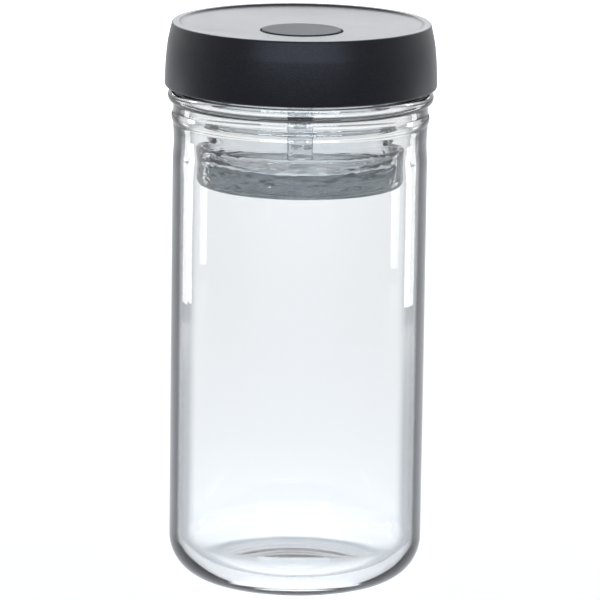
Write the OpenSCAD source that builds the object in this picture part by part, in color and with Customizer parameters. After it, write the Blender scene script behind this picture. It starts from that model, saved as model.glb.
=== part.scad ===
// Fermentation jar: a wide glass jar, a screw lid with a spring-closed gas vent under a round
// cap, and a pressed-glass weight that hangs by its knob from a soft plug under the vent.
// Millimetres, +Z up. The origin is in the middle of the base, on the table.

/* [Jar] */
// Outside diameter of the glass body
body_d = 112.5; // [104:0.5:124]
// Thickness of the body's wall
wall = 4.8; // [3.5:0.1:6]
// Height of the glass from the table to the lip
jar_h = 238; // [190:1:300]
// Thickness of the glass floor
floor_t = 7; // [6:0.5:12]
// Radius of the rounded outside edge at the base
heel_radius = 19; // [10:0.5:24]
// Radius of the rounded inside edge at the floor
floor_radius = 14; // [6:0.5:20]
// Width of the flat ring that the jar stands on
foot_ring_w = 7; // [4:0.5:10]
// Rise of the hollow under the base
push_up = 2.5; // [1:0.1:4]

/* [Neck] */
// Outside diameter of the screw finish
finish_d = 105.2; // [100:0.2:108]
// Wall thickness at the mouth
finish_wall = 4.6; // [3.6:0.1:5.6]
// Height of the finish above the middle of the carrying bead
finish_h = 20.7; // [20:0.1:26]
// Outward reach of the carrying bead
bead_out = 2.4; // [1:0.05:3]
// Radius of the bead's round edge
bead_radius = 2.7; // [1.5:0.1:3.5]
// Distance from the bead's middle down to the low ring
ring_drop = 9.2; // [7:0.1:11]
// Outward reach of the low ring
ring_out = 0.75; // [0.2:0.05:1]
// Radius of the low ring's curve
ring_radius = 4; // [3:0.5:6]
// Distance from the low ring down to the middle of the waist
waist_drop = 11; // [9:0.5:16]
// Inward reach of the waist
waist_in = 0.35; // [0.1:0.05:0.8]
// Height of the waist's shallow curve
waist_h = 14; // [8:0.5:16]
// Height above the bead's middle at which the inside has narrowed to the mouth
narrow_end = 9; // [3:0.5:12]
// Radius of the two curves by which the inside narrows to the mouth
narrow_radius = 20; // [12:0.5:28]
// Radius of the lip's round edges
lip_radius = 1.6; // [0.8:0.1:1.7]

/* [Lid] */
// Height of the lid from its lower edge to its rim
lid_h = 28.4; // [27:0.1:34]
// Thickness of the shell's skirt
shell_wall = 2.6; // [1.8:0.1:3.4]
// Swell of the skirt beyond its width at the plate
skirt_swell = 1.5; // [0.6:0.1:2.5]
// Height of the widest place above the lower edge
swell_rise = 2; // [1:0.5:6]
// Thickness of the shell's top plate
plate_t = 2.2; // [1.6:0.1:3]
// Depth of the plate below the rim, at the hole for the cap
recess = 3.8; // [2:0.1:5]
// Height of the skirt's leaning upper part
bend_drop = 9.5; // [7:0.5:14]
// Lean of that part, in degrees
taper = 12; // [9:0.5:18]
// Radius of the soft bend below it
bend_radius = 20; // [5:1:60]
// Rise of the dished plate from its hole to the rim
dish_rise = 2.1; // [0.5:0.1:2.6]
// Width of the raised rim, to the middle of its inner edge
rim_w = 2.8; // [2.2:0.1:6]
// Radius of the soft curve between the rim and the plate
recess_radius = 2; // [1:0.1:3]
// Radius of the rim's outer edge
rim_edge = 0.6; // [0.3:0.1:2]
// Radius of the rim's inner edge
rim_inner_edge = 0.6; // [0.3:0.1:1.2]
// Radius of the skirt's lower edge
lower_edge = 1; // [0.4:0.1:1.2]

/* [Thread liner] */
// Room for the thread between the finish and the liner
thread_room = 1.6; // [1:0.1:2.4]
// Thickness of the liner's skirt
liner_wall = 1.6; // [1.2:0.1:2.4]
// Thickness of the liner's top plate
liner_plate_t = 2; // [1.4:0.1:3]
// Gap between the liner and the shell at the plate
liner_gap = 0.1; // [0.05:0.05:0.4]
// Thickness of the foot that closes the liner to the shell
foot_t = 1.6; // [1:0.1:2.4]
// Height of the foot above the shell's lower edge
foot_inset = 0.8; // [0.5:0.1:4]
// Width of the weld ring between the liner and the shell
weld_w = 2; // [1:0.1:4]
// Distance of the weld ring in from the liner's outside
weld_inset = 4; // [2:0.5:10]

/* [Lid seal] */
// Thickness of the seal
seal_t = 1.8; // [1.2:0.1:3]
// Distance of the seal's inner edge outside the mouth
seal_inset = 0.5; // [0.2:0.1:1.4]
// Gap between the seal's outer edge and the liner
seal_margin = 0.3; // [0.1:0.05:1]

/* [Vent cap] */
// Diameter of the round cap
cap_d = 35; // [28:0.1:40]
// Thickness of the cap's plate
cap_t = 2; // [1.4:0.1:2.2]
// Gap round the cap, through which the gas leaves
cap_gap = 0.8; // [0.5:0.1:1.5]
// Height of the cap's face above the lid's plate
cap_proud = 0.5; // [0.2:0.1:1]
// Radius of the cap's upper edge
cap_edge = 0.5; // [0.2:0.1:0.8]
// Diameter of the hub under the cap
hub_d = 14.4; // [12:0.2:20]
// Number of ribs under the cap
rib_n = 6; // [3:1:12]
// Thickness of a rib
rib_t = 1.2; // [0.8:0.1:2]
// Depth of a rib below the cap's plate
rib_h = 1.5; // [0.6:0.1:2]
// Distance from the end of a rib to the cap's edge
rib_inset = 2; // [1:0.1:4]

/* [Vent housing] */
// Distance that the cup is wider than the hole in the shell
cup_step = 0.6; // [0.2:0.1:1.2]
// Thickness of the cup's wall
cup_wall = 1.1; // [0.8:0.1:2]
// Depth of the cup below the shell's plate
cup_depth = 5.8; // [5:0.1:9]
// Thickness of the cup's floor
cup_floor_t = 1.6; // [1.2:0.1:2.4]
// Gap between the cup and the hole in the liner
cup_fit = 0.2; // [0.1:0.05:0.4]
// Width of the flange that clamps the housing
flange_w = 2.7; // [2:0.1:5]
// Thickness of the flange
flange_t = 1.2; // [0.8:0.1:2]
// Thickness of the gasket under the flange
gasket_t = 0.8; // [0.5:0.1:1.5]
// Outside radius of the raised seat on the cup's floor
seat_r = 6.2; // [5.6:0.1:6.6]
// Width of the seat
seat_w = 1; // [0.6:0.1:1.2]
// Height of the seat above the cup's floor
seat_h = 0.8; // [0.4:0.1:1.4]
// Outside diameter of the boss that hangs below the lid
boss_d = 11.4; // [11:0.1:14]
// Thickness of the boss's wall
boss_wall = 1.2; // [0.8:0.1:1.3]
// Radius of the curve between the cup and the boss
boss_fillet = 2; // [0.5:0.1:4]
// Diameter of the hub that guides the stem
guide_d = 4.6; // [4:0.1:4.8]
// Length of the guide below the cup's floor
guide_len = 3; // [1:0.5:5]
// Number of gas slots in the cup's floor
slot_n = 3; // [2:1:4]
// Radial width of a gas slot
slot_w = 0.8; // [0.5:0.05:0.85]
// Angle that a gas slot spans
slot_angle = 80; // [40:5:80]
// Number of gas windows in the boss
window_n = 4; // [2:1:6]
// Width of a gas window
window_w = 2.6; // [1.5:0.1:3]
// Height of a gas window
window_h = 8; // [4:0.5:12]
// Distance of the windows below the cup's floor
window_drop = 5; // [3:0.5:6]

/* [Vent valve] */
// Diameter of the stem
stem_d = 3; // [2.4:0.1:3.2]
// Depth of the stem's end in the cap's plate
stem_grip = 0.5; // [0.2:0.1:1]
// Length of the stem below the clip
stem_tail = 1.6; // [0.8:0.1:2]
// Diameter of the soft washer
washer_d = 14; // [13.4:0.1:16]
// Thickness of the washer
washer_t = 1.4; // [0.8:0.1:2]
// Diameter of the spring at the middle of its wire
spring_d = 6.2; // [6:0.1:6.8]
// Diameter of the spring's wire
wire_d = 0.7; // [0.5:0.05:0.8]
// Number of turns of the spring
spring_turns = 7; // [5:0.5:8]
// Fitted length of the spring
spring_len = 14.3; // [13:0.1:16]
// Diameter of the clip that holds the spring
clip_d = 7.2; // [7:0.1:8]
// Thickness of the clip
clip_t = 0.8; // [0.5:0.1:1.2]

/* [Weight plug] */
// Thickness of the plug's collar
collar_t = 1; // [0.6:0.1:2]
// Room between the stem's end and the plug in the boss
plug_room = 0.7; // [0.4:0.1:6]
// Length of the plug in the boss
plug_top_len = 4; // [2:0.1:4.4]
// Diameter of the plug in the knob
plug_d = 6; // [4:0.1:7.6]
// Length of the plug in the knob
plug_len = 8.5; // [5:0.1:12]
// Radius of the plug's lower edge
plug_edge = 1; // [0.3:0.1:1.6]

/* [Weight] */
// Diameter of the weight
weight_d = 92; // [80:0.5:94]
// Height of the weight from its underside to its rim
weight_h = 18.1; // [14:0.1:24]
// Thickness of the weight's floor
weight_floor_t = 9.1; // [6:0.1:11]
// Width of the weight's round rim
weight_rim_w = 4; // [2:0.1:6]
// Radius of the dish's lower corner
dish_radius = 6; // [2:0.5:8]
// Radius of the weight's lower edge
weight_edge = 3; // [1:0.1:5]
// Diameter of the knob
knob_d = 11.4; // [10:0.1:14]
// Height of the knob above the rim
knob_rise = 17.4; // [8:0.1:22]
// Radius of the knob's upper edge
knob_edge = 0.8; // [0.3:0.1:1.5]
// Radius of the curve at the knob's foot
knob_fillet = 3; // [1:0.1:5]
// Room under the plug in the knob's bore
bore_room = 0.7; // [0.3:0.1:2]

/* [Fits] */
// Gap between flat faces that move apart
face_gap = 0.1; // [0.05:0.05:0.3]
// Radial clearance where a pin runs or slides in a bore
running_fit = 0.05; // [0.02:0.01:0.1]
// Radial clearance where pieces are pushed together
push_fit = 0.02; // [0.01:0.01:0.05]

/* [Hidden] */
$fn = 96;
// Overlap of a cut with the faces that it passes
cut = 1;

// Jar radii and heights
body_r = body_d / 2;
inner_r = body_r - wall;
finish_r = finish_d / 2;
mouth_r = finish_r - finish_wall;
bead_z = jar_h - finish_h;
bead_r = max(body_r, finish_r) + bead_out - bead_radius;
ring_z = bead_z - ring_drop;
waist_z = ring_z - waist_drop;
waist_curve = (waist_h * waist_h / 4 + waist_in * waist_in) / (2 * waist_in);
hollow_r = body_r - heel_radius - foot_ring_w;
hollow_curve = (hollow_r * hollow_r + push_up * push_up) / (2 * push_up);
narrow_angle = acos(1 - abs(inner_r - mouth_r) / (2 * narrow_radius));
narrow_h = narrow_radius * sin(narrow_angle);
narrow_top_z = bead_z + narrow_end;
narrow_z = narrow_top_z - 2 * narrow_h;

// Lid heights, from the lip upwards
seal_z = jar_h + face_gap;
liner_z = seal_z + seal_t + face_gap;
gasket_z = liner_z + liner_plate_t;
flange_z = gasket_z + gasket_t;
under_z = flange_z + flange_t;
plate_z = under_z + plate_t;
rim_z = plate_z + recess;
low_z = rim_z - lid_h;
foot_z = low_z + foot_inset;

// Lid radii, from the finish outwards
liner_in = finish_r + thread_room;
liner_out = liner_in + liner_wall;
shell_in = liner_out + liner_gap;
lid_r = shell_in + shell_wall + skirt_swell;
swell_z = low_z + swell_rise;
swell_h = under_z - swell_z;
skirt_curve = (swell_h * swell_h + skirt_swell * skirt_swell) / (2 * skirt_swell);
skirt_mid = lid_r - skirt_curve;
function skirt_r(z, inset) = skirt_mid + sqrt(pow(skirt_curve - inset, 2) - pow(z - swell_z, 2));
bend_z = rim_z - bend_drop;
bend_angle = asin((bend_z - swell_z) / skirt_curve);
bend_mid = [skirt_mid, swell_z] + (skirt_curve - bend_radius) * [cos(bend_angle), sin(bend_angle)];
// Distance of the leaning face from the origin, square to it
lean_reach = bend_mid[0] * cos(taper) + bend_mid[1] * sin(taper) + bend_radius;
recess_r = (lean_reach - rim_z * sin(taper)) / cos(taper) - rim_w;

// Vent radii and heights
cap_r = cap_d / 2;
hole_r = cap_r + cap_gap;
cup_in = hole_r + cup_step;
cup_out = cup_in + cup_wall;
liner_hole_r = cup_out + cup_fit;
flange_r = liner_hole_r + flange_w;
cup_z = under_z - cup_depth;
cup_under_z = cup_z - cup_floor_t;
seat_z = cup_z + seat_h;
boss_r = boss_d / 2;
boss_in = boss_r - boss_wall;
guide_r = guide_d / 2;
stem_r = stem_d / 2;
washer_z = seat_z + face_gap;
hub_z = washer_z + washer_t;
cap_top_z = plate_z + cap_proud;
cap_z = cap_top_z - cap_t;
clip_top_z = cup_under_z - spring_len;
clip_z = clip_top_z - clip_t;
stem_z = clip_z - stem_tail;
boss_z = stem_z - plug_room - plug_top_len;

// Weight radii and heights
collar_z = boss_z - collar_t;
knob_z = collar_z - face_gap;
knob_r = knob_d / 2;
weight_r = weight_d / 2;
weight_top_z = knob_z - knob_rise;
weight_z = weight_top_z - weight_h;
dish_z = weight_z + weight_floor_t;
dish_r = weight_r - weight_rim_w;
plug_r = plug_d / 2;

// Spring wire: rings along the helix, sides round the wire
ring_n = 12;
side_n = 6;
wire_r = wire_d / 2;
spring_r = spring_d / 2;
spring_steps = round(spring_turns * ring_n);
spring_low = clip_top_z + wire_r + push_fit;
spring_rise = spring_len - wire_d - 2 * push_fit;
function helix(i) = [spring_r * cos(360 * i / ring_n), spring_r * sin(360 * i / ring_n),
                     spring_low + spring_rise * i / spring_steps];
least_turn_gap = min([for (i = [0:spring_steps]) for (j = [i + ring_n - 2:1:spring_steps])
                      norm(helix(i) - helix(j))]) - wire_d;
echo("least gap between the spring's turns", least_turn_gap);

charcoal = [0.17, 0.17, 0.19];
clear_glass = [0.84, 0.9, 0.92, 0.4];
milky_silicone = [0.86, 0.87, 0.86];
milky_plastic = [0.86, 0.87, 0.86];
steel = [0.72, 0.73, 0.75];

// Rectangle in the half plane that is turned round the axis
module band(r0, r1, z0, z1) {
    translate([r0, z0]) square([r1 - r0, z1 - z0]);
}

// Circle in the half plane that is turned round the axis
module dot(r, z, radius) {
    translate([r, z]) circle(radius);
}

// Concave corner of the given radius outside a wall at r that stands on a floor at z
module inside_corner(r, z, radius) {
    difference() {
        band(r, r + radius, z, z + radius);
        dot(r + radius, z + radius, radius);
    }
}

// Cut that rounds the upper edge of a wall that starts at r and ends at z
module rounded_over(r, z, radius) {
    difference() {
        band(r, r + radius, z - radius, z + cut);
        dot(r + radius, z - radius, radius);
    }
}

// Space that fills a bowl out to r, with a round lower corner
module bowl(r, z0, z1, radius) {
    band(0, r - radius, z0, z1);
    band(0, r, z0 + radius, z1);
    dot(r - radius, z0 + radius, radius);
}

// Outside of the jar: round heel, waist, low ring, carrying bead and screw finish
module jar_outside() {
    difference() {
        union() {
            bowl(body_r, 0, bead_z, heel_radius);
            dot(body_r + ring_out - ring_radius, ring_z, ring_radius);
        }
        dot(body_r - waist_in + waist_curve, waist_z, waist_curve);
    }
    dot(bead_r, bead_z, bead_radius);
    band(0, bead_r, bead_z, bead_z + bead_radius);
    band(0, finish_r, bead_z, jar_h - lip_radius);
    band(0, finish_r - lip_radius, bead_z, jar_h);
    dot(finish_r - lip_radius, jar_h - lip_radius, lip_radius);
}

// Change of a bore between a wide and a tight radius, by two curves that meet half-way
module throat(wide_r, wide_z, tight_r, tight_z) {
    mid_z = (wide_z + tight_z) / 2;
    far_z = wide_z < mid_z ? wide_z - cut : wide_z + cut;
    intersection() {
        union() {
            dot(wide_r - narrow_radius, wide_z, narrow_radius);
            band(0, wide_r - narrow_radius, min(far_z, mid_z), max(far_z, mid_z));
        }
        band(0, wide_r, min(far_z, mid_z), max(far_z, mid_z));
    }
    difference() {
        band(0, (wide_r + tight_r) / 2, min(wide_z, tight_z), max(wide_z, tight_z));
        dot(tight_r + narrow_radius, tight_z, narrow_radius);
    }
}

// Inside of the jar: round floor corner, straight wall, two curves into the mouth
module jar_inside() {
    bowl(inner_r, floor_t, narrow_z, floor_radius);
    if (mouth_r < inner_r) {
        throat(inner_r, narrow_z, mouth_r, narrow_top_z);
    } else {
        throat(mouth_r, narrow_top_z, inner_r, narrow_z);
    }
    band(0, min(inner_r, mouth_r), narrow_z - cut, narrow_top_z + cut);
    band(0, mouth_r, narrow_top_z, jar_h + cut);
    rounded_over(mouth_r, jar_h, lip_radius);
}

// Blown glass jar with a shallow hollow under its base
module glass_jar() {
    color(clear_glass) rotate_extrude() difference() {
        jar_outside();
        jar_inside();
        dot(0, push_up - hollow_curve, hollow_curve);
    }
}

// Pressed glass disc with a dish, a round rim and a bored knob
module glass_weight() {
    color(clear_glass) rotate_extrude() difference() {
        union() {
            difference() {
                union() {
                    bowl(weight_r, weight_z, weight_top_z - weight_rim_w / 2, weight_edge);
                    dot(weight_r - weight_rim_w / 2, weight_top_z - weight_rim_w / 2, weight_rim_w / 2);
                }
                bowl(dish_r, dish_z, weight_top_z + cut, dish_radius);
            }
            band(0, knob_r, weight_z + weight_edge, knob_z - knob_edge);
            band(0, knob_r - knob_edge, dish_z, knob_z);
            dot(knob_r - knob_edge, knob_z - knob_edge, knob_edge);
            inside_corner(knob_r, dish_z, knob_fillet);
        }
        band(0, plug_r + running_fit, knob_z - plug_len - bore_room, knob_z + cut);
    }
}

// Soft plug that closes the boss and grips the knob's bore
module weight_plug() {
    color(milky_silicone) rotate_extrude() {
        band(0, boss_in - push_fit, boss_z, boss_z + plug_top_len);
        band(0, boss_r, collar_z, boss_z);
        band(0, plug_r, collar_z - plug_len + plug_edge, collar_z);
        band(0, plug_r - plug_edge, collar_z - plug_len, collar_z);
        dot(plug_r - plug_edge, collar_z - plug_len + plug_edge, plug_edge);
    }
}

// Flat ring between the lip and the liner
module lid_seal() {
    color(milky_silicone) rotate_extrude()
        band(mouth_r + seal_inset, liner_in - seal_margin, seal_z, seal_z + seal_t);
}

// Inner cap that carries the thread, with a foot and a weld ring that meet the shell
module thread_liner() {
    color(milky_plastic) rotate_extrude() {
        band(liner_hole_r, liner_out, liner_z, gasket_z);
        band(liner_in, liner_out, foot_z, gasket_z);
        band(liner_in, skirt_r(foot_z, shell_wall) - liner_gap, foot_z, foot_z + foot_t);
        band(liner_out - weld_inset - weld_w, liner_out - weld_inset, gasket_z, under_z);
    }
}

// One curved gas slot through the cup's floor
module gas_slot() {
    slot_out = boss_in - push_fit;
    translate([0, 0, cup_under_z - cut]) linear_extrude(cup_floor_t + 2 * cut) intersection() {
        difference() {
            circle(slot_out);
            circle(slot_out - slot_w);
        }
        polygon([[0, 0], 2 * slot_out * [cos(slot_angle / 2), -sin(slot_angle / 2)],
                 2 * slot_out * [cos(slot_angle / 2), sin(slot_angle / 2)]]);
    }
}

// Cup under the cap with the valve seat, and the bored boss that hangs into the neck
module vent_housing() {
    color(charcoal) difference() {
        rotate_extrude() difference() {
            union() {
                band(cup_in, flange_r, flange_z, under_z);
                band(cup_in, cup_out, cup_under_z, under_z);
                band(0, cup_out, cup_under_z, cup_z);
                band(seat_r - seat_w, seat_r, cup_z, seat_z);
                band(0, guide_r, cup_under_z - guide_len, cup_z);
                band(boss_in, boss_r, boss_z, cup_under_z);
                mirror([0, 1]) inside_corner(boss_r, -cup_under_z, boss_fillet);
            }
            band(0, stem_r + running_fit, cup_under_z - guide_len - cut, cup_z + cut);
        }
        for (i = [0:slot_n - 1]) rotate(360 * i / slot_n) gas_slot();
        for (i = [0:window_n - 1]) rotate(360 * i / window_n)
            translate([boss_in - cut, -window_w / 2, cup_under_z - window_drop - window_h])
                cube([boss_wall + 2 * cut, window_w, window_h]);
    }
}

// Flat ring clamped between the housing's flange and the liner
module housing_gasket() {
    color(milky_silicone) rotate_extrude() band(liner_hole_r, flange_r, gasket_z, flange_z);
}

// Closing spring: a round wire carried along a helix
module vent_spring() {
    points = [for (i = [0:spring_steps]) for (k = [0:side_n - 1])
        let (turn = 360 * i / ring_n, side = 360 * k / side_n,
             out = wire_r * cos(side), up = wire_r * sin(side))
        helix(i) + [out * cos(turn), out * sin(turn), up]];
    sides = [for (i = [0:spring_steps - 1]) for (k = [0:side_n - 1])
        let (a = i * side_n + k, b = i * side_n + (k + 1) % side_n)
        each [[a, a + side_n, b], [b, a + side_n, b + side_n]]];
    last = spring_steps * side_n;
    caps = [for (k = [1:side_n - 2]) each [[0, k, k + 1], [last, last + k + 1, last + k]]];
    color(steel) polyhedron(points, concat(sides, caps));
}

// Round clip on the stem that the spring bears on
module spring_clip() {
    color(steel) rotate_extrude() band(stem_r + push_fit, clip_d / 2, clip_z, clip_top_z);
}

// Straight steel stem from the cap down through the guide
module vent_stem() {
    color(steel) translate([0, 0, stem_z]) cylinder(r = stem_r, h = cap_z + stem_grip - stem_z);
}

// Soft washer under the hub that closes on the seat
module vent_washer() {
    color(milky_silicone) rotate_extrude() band(stem_r + push_fit, washer_d / 2, washer_z, hub_z);
}

// Round cap in the middle of the lid, with a hub and ribs underneath
module vent_cap() {
    color(charcoal) difference() {
        union() {
            rotate_extrude() {
                band(0, cap_r, cap_z, cap_top_z - cap_edge);
                band(0, cap_r - cap_edge, cap_z, cap_top_z);
                dot(cap_r - cap_edge, cap_top_z - cap_edge, cap_edge);
                band(0, hub_d / 2, hub_z, cap_z);
            }
            for (i = [0:rib_n - 1]) rotate(360 * i / rib_n)
                translate([0, -rib_t / 2, cap_z - rib_h]) cube([cap_r - rib_inset, rib_t, rib_h]);
        }
        translate([0, 0, hub_z - cut])
            cylinder(r = stem_r + push_fit, h = cap_z + stem_grip + push_fit - hub_z + cut);
    }
}

// Points on an arc about a centre, from one angle to another
function arc(centre, radius, from, to, steps) =
    [for (i = [0:steps]) let (a = from + (to - from) * i / steps) centre + radius * [cos(a), sin(a)]];

// Centre of an edge rounding, at height z, that touches the swelling skirt from inside
function edge_centre(z, radius) =
    [skirt_mid + sqrt(pow(skirt_curve - radius, 2) - pow(z - swell_z, 2)), z];

// Angle at which a point is seen from the centre of another arc
function angle_of(point, centre) = atan2(point[1] - centre[1], point[0] - centre[0]);

// Outer cover: swelling skirt that leans in above a soft bend, raised rim, dished plate and the
// hole for the cap. Its outline is a chain of arcs that run smoothly into each other.
module lid_shell() {
    skirt_centre = [skirt_mid, swell_z];
    low_centre = edge_centre(low_z + lower_edge, lower_edge);
    low_angle = angle_of(low_centre, skirt_centre);
    top_z = rim_z - rim_edge;
    top_centre = [(lean_reach - rim_edge - top_z * sin(taper)) / cos(taper), top_z];
    inner_centre = [recess_r, rim_z - rim_inner_edge];
    dish_up = (recess_r * recess_r - hole_r * hole_r + dish_rise * dish_rise) / (2 * dish_rise);
    dish_curve = sqrt(hole_r * hole_r + dish_up * dish_up);
    dish_centre = [0, plate_z + dish_up];
    foot_reach = dish_curve - recess_radius;
    edge_reach = recess_radius + rim_inner_edge;
    between = norm(inner_centre - dish_centre);
    swing = acos((foot_reach * foot_reach + between * between - edge_reach * edge_reach)
                 / (2 * foot_reach * between));
    foot_angle = angle_of(inner_centre, dish_centre) - swing;
    foot_centre = dish_centre + foot_reach * [cos(foot_angle), sin(foot_angle)];
    edge_angle = angle_of(inner_centre, foot_centre);
    inside = skirt_curve - shell_wall;
    inside_top = asin((under_z - swell_z) / inside);
    inside_low = asin((low_z - swell_z) / inside);
    color(charcoal) rotate_extrude() polygon(concat(
        arc(low_centre, lower_edge, -90, low_angle, 6),
        arc(skirt_centre, skirt_curve, low_angle, bend_angle, 12),
        arc(bend_mid, bend_radius, bend_angle, taper, 4),
        arc(top_centre, rim_edge, taper, 90, 6),
        arc(inner_centre, rim_inner_edge, 90, edge_angle + 180, 5),
        arc(foot_centre, recess_radius, edge_angle, foot_angle, 5),
        arc(dish_centre, dish_curve, foot_angle, angle_of([hole_r, plate_z], dish_centre), 10),
        [[hole_r, under_z]],
        arc(skirt_centre, inside, inside_top, inside_low, 16)));
}

glass_jar();
glass_weight();
weight_plug();
lid_seal();
thread_liner();
vent_housing();
housing_gasket();
vent_spring();
spring_clip();
vent_stem();
vent_washer();
vent_cap();
lid_shell();
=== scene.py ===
import math

import bpy
import numpy as np
from mathutils import Matrix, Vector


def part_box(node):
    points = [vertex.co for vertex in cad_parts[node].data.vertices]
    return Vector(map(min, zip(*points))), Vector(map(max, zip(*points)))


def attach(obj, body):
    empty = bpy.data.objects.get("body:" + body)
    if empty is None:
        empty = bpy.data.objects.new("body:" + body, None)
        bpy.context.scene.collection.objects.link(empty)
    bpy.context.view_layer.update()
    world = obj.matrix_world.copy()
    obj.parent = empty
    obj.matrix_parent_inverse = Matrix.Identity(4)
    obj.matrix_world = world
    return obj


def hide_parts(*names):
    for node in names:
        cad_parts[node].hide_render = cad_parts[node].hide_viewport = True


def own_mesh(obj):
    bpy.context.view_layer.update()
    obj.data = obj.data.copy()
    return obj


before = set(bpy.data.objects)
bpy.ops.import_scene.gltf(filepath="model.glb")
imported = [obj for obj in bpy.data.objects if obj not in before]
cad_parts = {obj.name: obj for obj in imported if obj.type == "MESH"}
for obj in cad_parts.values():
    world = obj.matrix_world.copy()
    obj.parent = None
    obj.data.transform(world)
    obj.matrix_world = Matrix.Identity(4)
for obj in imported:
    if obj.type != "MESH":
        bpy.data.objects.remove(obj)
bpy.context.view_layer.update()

# Studio. The jar stands on a plain pale floor under a wide overhead softbox, with a long softbox in
# front, a large one behind and a small strip at each side. The background is white. The long lens and
# its slight roll are those of the photograph.
mm = 0.001
camera_distance = 2348 * mm
camera_elevation = math.radians(11.667)
camera_roll = math.radians(0.792)
aim_height = 125.15 * mm
focal_px = 5287.3
axis_px = 297.95
frame_px = 600
sensor_width = 36

camera_data = bpy.data.cameras.new("camera")
camera_data.sensor_width = sensor_width
camera_data.lens = focal_px * sensor_width / frame_px
camera_data.shift_x = (frame_px / 2 - axis_px) / frame_px
camera_data.clip_end = 50
camera = bpy.data.objects.new("camera", camera_data)
bpy.context.scene.collection.objects.link(camera)
camera_turn = Matrix.Rotation(math.pi / 2 - camera_elevation, 4, "X") @ Matrix.Rotation(camera_roll, 4, "Z")
camera_place = Matrix.Translation((0, -camera_distance * math.cos(camera_elevation),
                                   aim_height + camera_distance * math.sin(camera_elevation)))
camera.matrix_world = camera_place @ camera_turn
bpy.context.scene.camera = camera
bpy.context.scene.view_settings.view_transform = "Standard"


def softbox(name, place, target, size, watts, colour=(1, 1, 1)):
    """A rectangular lamp at place that faces target, hidden from the camera itself."""
    data = bpy.data.lights.new(name, "AREA")
    data.shape = "RECTANGLE"
    data.size = size[0]
    data.size_y = size[1]
    data.energy = watts
    data.color = colour
    lamp = bpy.data.objects.new(name, data)
    bpy.context.scene.collection.objects.link(lamp)
    towards = np.subtract(target, place)
    yaw = math.atan2(towards[1], towards[0]) - math.pi / 2
    pitch = math.atan2(towards[2], math.hypot(towards[0], towards[1]))
    turn = Matrix.Rotation(yaw, 4, "Z") @ Matrix.Rotation(math.pi / 2 + pitch, 4, "X")
    lamp.matrix_world = Matrix.Translation(place) @ turn
    lamp.visible_camera = False
    return lamp


softbox("overhead_softbox", (0, 0, 1.7), (0, 0, 0), (1.8, 1.8), 14.5, (0.97, 0.99, 1))
softbox("front_softbox", (0, -2.2, 0.88), (0, 0, 0.22), (3.4, 0.4), 63, (0.79, 0.88, 1))
rear_softbox = softbox("rear_softbox", (0, 2.2, 1.3), (0, 0, 0.24), (2.6, 1.2), 37, (0.97, 0.99, 1))
# Seen through the glass, the rear softbox would wash out the weight.
rear_softbox.visible_transmission = False
softbox("left_strip", (-0.52, 0.3, 0.07), (0, 0, 0.07), (0.1, 0.12), 0.15)
softbox("right_strip", (0.52, 0.3, 0.07), (0, 0, 0.07), (0.1, 0.12), 0.15)

# The world is white where the camera, a mirror or glass looks at it, and a weak fill light elsewhere.
world = bpy.data.worlds.new("studio")
bpy.context.scene.world = world
world.use_nodes = True
world_nodes = world.node_tree.nodes
world_links = world.node_tree.links
world_nodes.clear()
world_out = world_nodes.new("ShaderNodeOutputWorld")
seen_white = world_nodes.new("ShaderNodeBackground")
seen_white.inputs["Color"].default_value = (1, 1, 1, 1)
fill_light = world_nodes.new("ShaderNodeBackground")
fill_light.inputs["Color"].default_value = (0.97, 0.985, 1, 1)
fill_light.inputs["Strength"].default_value = 0.25
ray = world_nodes.new("ShaderNodeLightPath")
seen_or_mirrored = world_nodes.new("ShaderNodeMath")
seen_or_mirrored.operation = "MAXIMUM"
seen_at_all = world_nodes.new("ShaderNodeMath")
seen_at_all.operation = "MAXIMUM"
choose = world_nodes.new("ShaderNodeMixShader")
world_links.new(ray.outputs["Is Camera Ray"], seen_or_mirrored.inputs[0])
world_links.new(ray.outputs["Is Glossy Ray"], seen_or_mirrored.inputs[1])
world_links.new(seen_or_mirrored.outputs[0], seen_at_all.inputs[0])
world_links.new(ray.outputs["Is Transmission Ray"], seen_at_all.inputs[1])
world_links.new(seen_at_all.outputs[0], choose.inputs[0])
world_links.new(fill_light.outputs[0], choose.inputs[1])
world_links.new(seen_white.outputs[0], choose.inputs[2])
world_links.new(choose.outputs[0], world_out.inputs["Surface"])

# The floor is lifted towards white for the camera, most of all far away, and is open from below.
floor_half = 7
floor_mesh = bpy.data.meshes.new("floor")
floor_z = -0.05 * mm
floor_mesh.from_pydata([(-floor_half, -floor_half, floor_z), (floor_half, -floor_half, floor_z),
                        (floor_half, floor_half, floor_z), (-floor_half, floor_half, floor_z)],
                       [], [(0, 1, 2, 3)])
floor = bpy.data.objects.new("floor", floor_mesh)
bpy.context.scene.collection.objects.link(floor)
floor_paint = bpy.data.materials.new("floor_paint")
floor_paint.use_nodes = True
floor_nodes = floor_paint.node_tree.nodes
floor_links = floor_paint.node_tree.links
floor_shader = floor_nodes["Principled BSDF"]
floor_shader.inputs["Base Color"].default_value = (0.72, 0.72, 0.72, 1)
floor_shader.inputs["Roughness"].default_value = 0.8
floor_shader.inputs["Specular IOR Level"].default_value = 0.1
floor_shader.inputs["Emission Color"].default_value = (1, 1, 1, 1)
floor_ray = floor_nodes.new("ShaderNodeLightPath")
floor_lift = floor_nodes.new("ShaderNodeMath")
floor_lift.operation = "MULTIPLY"
floor_place = floor_nodes.new("ShaderNodeTexCoord")
floor_reach = floor_nodes.new("ShaderNodeVectorMath")
floor_reach.operation = "LENGTH"
floor_far = floor_nodes.new("ShaderNodeMapRange")
floor_far.inputs["From Min"].default_value = 0.4
floor_far.inputs["From Max"].default_value = 2
floor_far.inputs["To Min"].default_value = 0.17
floor_far.inputs["To Max"].default_value = 0.95
floor_glass = floor_nodes.new("ShaderNodeMath")
floor_glass.operation = "MULTIPLY_ADD"
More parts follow.
